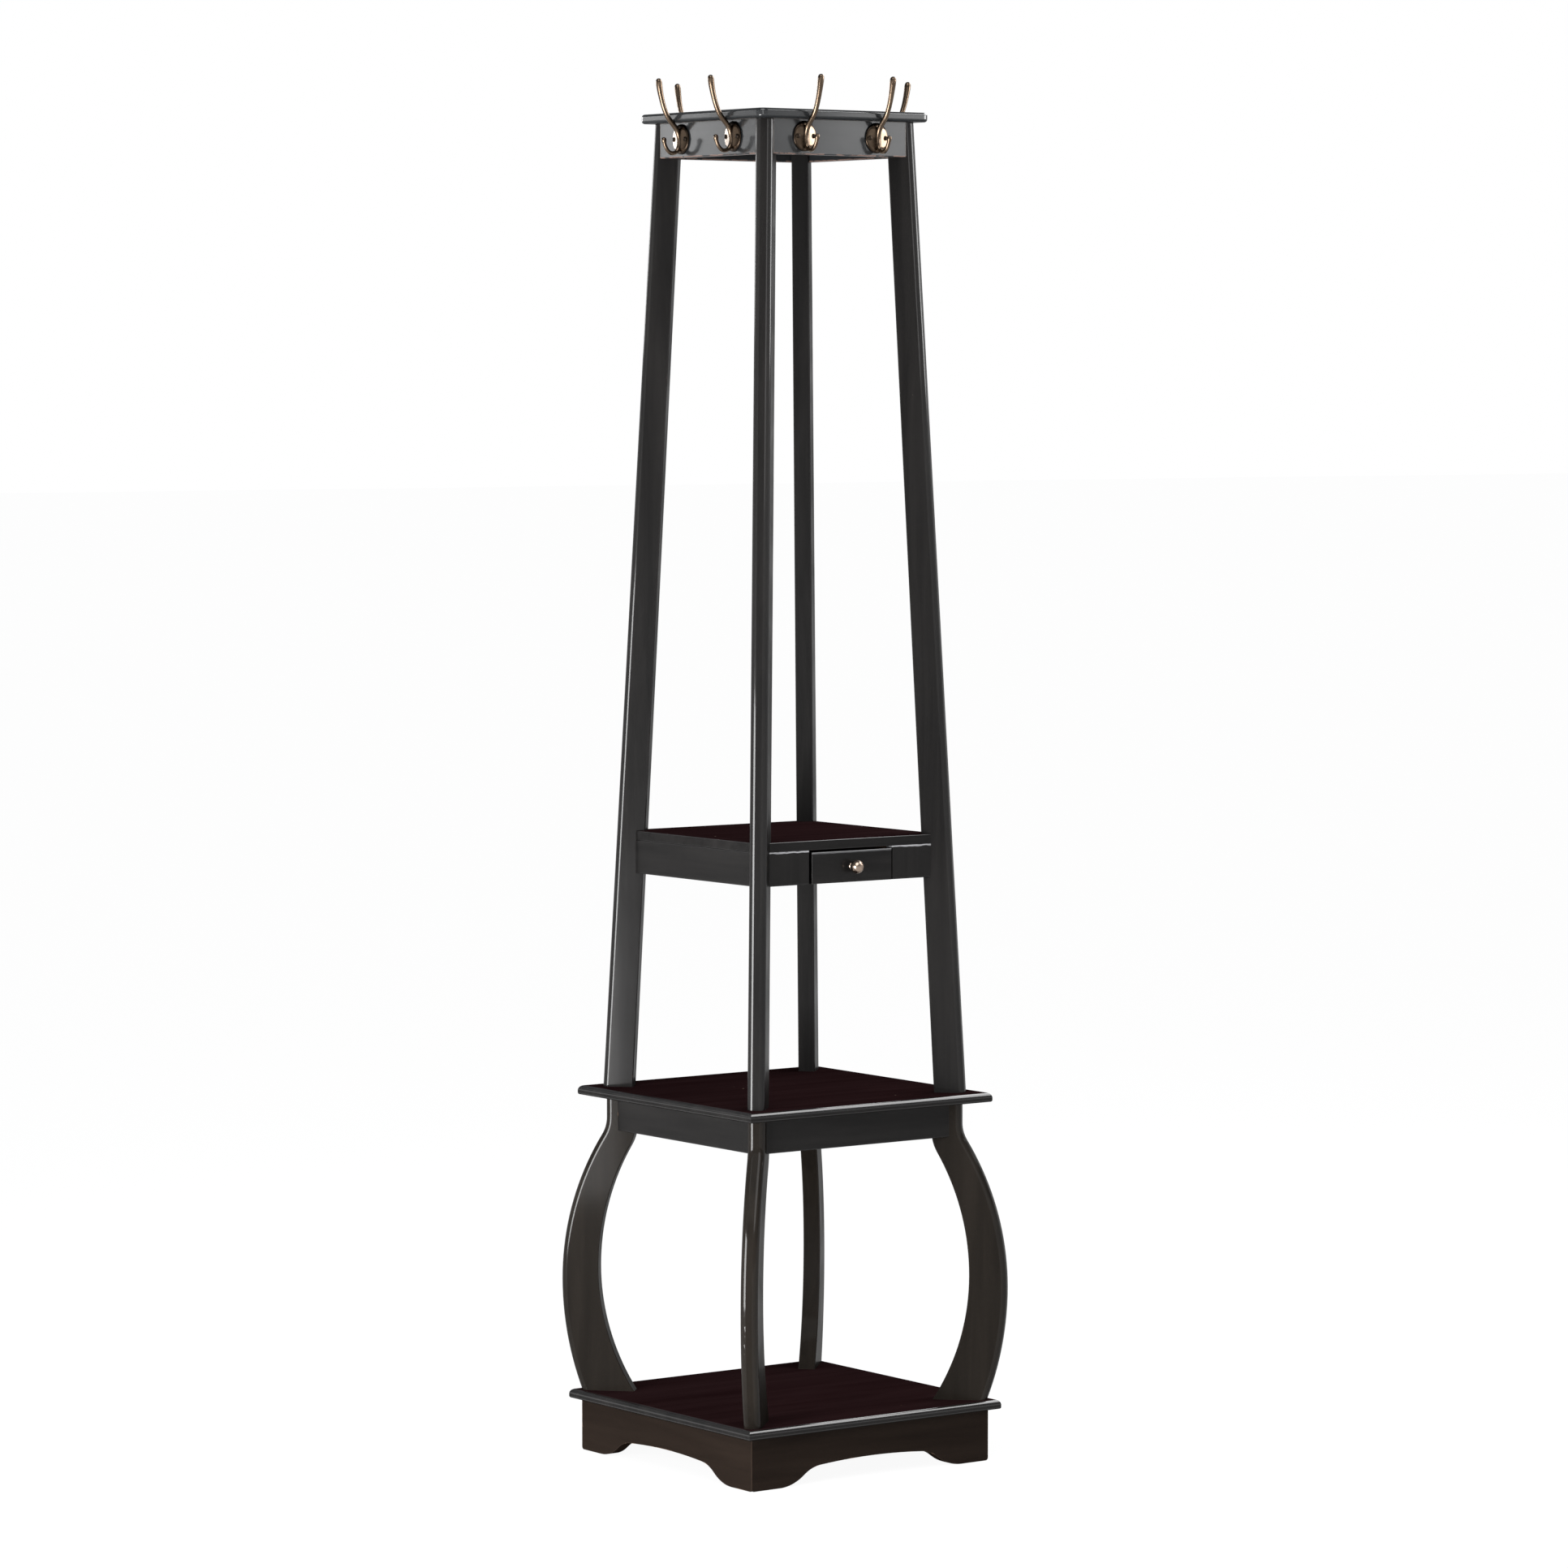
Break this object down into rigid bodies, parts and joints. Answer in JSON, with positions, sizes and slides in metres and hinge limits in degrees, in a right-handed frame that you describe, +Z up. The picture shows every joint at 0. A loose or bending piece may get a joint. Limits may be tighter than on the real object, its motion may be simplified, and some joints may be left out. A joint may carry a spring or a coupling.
{
  "type": "hall tree with hooks",
  "caption": "Tall square hall tree with bowed legs, a scalloped plinth, open shelves, a small drawer under the middle shelf and six coat hooks on the cap.",
  "frame": {"origin": "on the floor, under the centre of the square base", "axes": "+Z up; -Y towards the drawer front; +X to the right of someone facing the drawer"},
  "size_m": [0.4352, 0.4352, 1.8313],
  "materials": {
    "black_lacquer": "satin black lacquer",
    "shelf_lacquer": "satin near-black espresso lacquer",
    "stained_wood": "dark stained, unpolished",
    "hook_bronze": "antique bronze plating",
    "hook_screw_bronze": "dark antique bronze",
    "knob_bronze": "brushed antique bronze",
    "fastener_steel": "zinc plated"
  },
  "bodies": {
    "frame": {"base_apron_back": "black_lacquer", "base_apron_front": "black_lacquer", "base_apron_left": "black_lacquer", "base_apron_right": "black_lacquer", "base_board": "shelf_lacquer", "base_corner_blocks": "stained_wood", "block_screws": "fastener_steel", "cap_apron_back": "black_lacquer", "cap_apron_front": "black_lacquer", "cap_apron_left": "black_lacquer", "cap_apron_right": "black_lacquer", "cap_board": "black_lacquer", "cap_corner_blocks": "stained_wood", "coat_hook_back": "hook_bronze", "coat_hook_front_a": "hook_bronze", "coat_hook_front_b": "hook_bronze", "coat_hook_left_a": "hook_bronze", "coat_hook_left_b": "hook_bronze", "coat_hook_right": "hook_bronze", "corner_bolts": "fastener_steel", "drawer_runner_left": "stained_wood", "drawer_runner_right": "stained_wood", "drawer_stile_left": "black_lacquer", "drawer_stile_right": "black_lacquer", "hook_screws": "hook_screw_bronze", "leg_bolts": "fastener_steel", "lower_apron_back": "black_lacquer", "lower_apron_front": "black_lacquer", "lower_apron_left": "black_lacquer", "lower_apron_right": "black_lacquer", "lower_corner_blocks": "stained_wood", "lower_leg_back_left": "black_lacquer", "lower_leg_back_right": "black_lacquer", "lower_leg_front_left": "black_lacquer", "lower_leg_front_right": "black_lacquer", "lower_shelf_board": "shelf_lacquer", "middle_apron_back": "black_lacquer", "middle_apron_left": "black_lacquer", "middle_apron_right": "black_lacquer", "middle_corner_blocks": "stained_wood", "middle_shelf_board": "shelf_lacquer", "post_studs": "fastener_steel", "upper_post_back_left": "black_lacquer", "upper_post_back_right": "black_lacquer", "upper_post_front_left": "black_lacquer", "upper_post_front_right": "black_lacquer"},
    "drawer": {"drawer_back": "stained_wood", "drawer_bottom": "stained_wood", "drawer_front": "black_lacquer", "drawer_knob": "knob_bronze", "drawer_knob_screw": "fastener_steel", "drawer_side_left": "stained_wood", "drawer_side_right": "stained_wood"}
  },
  "joints": [
    {"name": "drawer_slide", "type": "slide", "parent": "frame", "child": "drawer", "axis": [0, -1, 0], "range_m": [0, 0.19]}
  ]
}
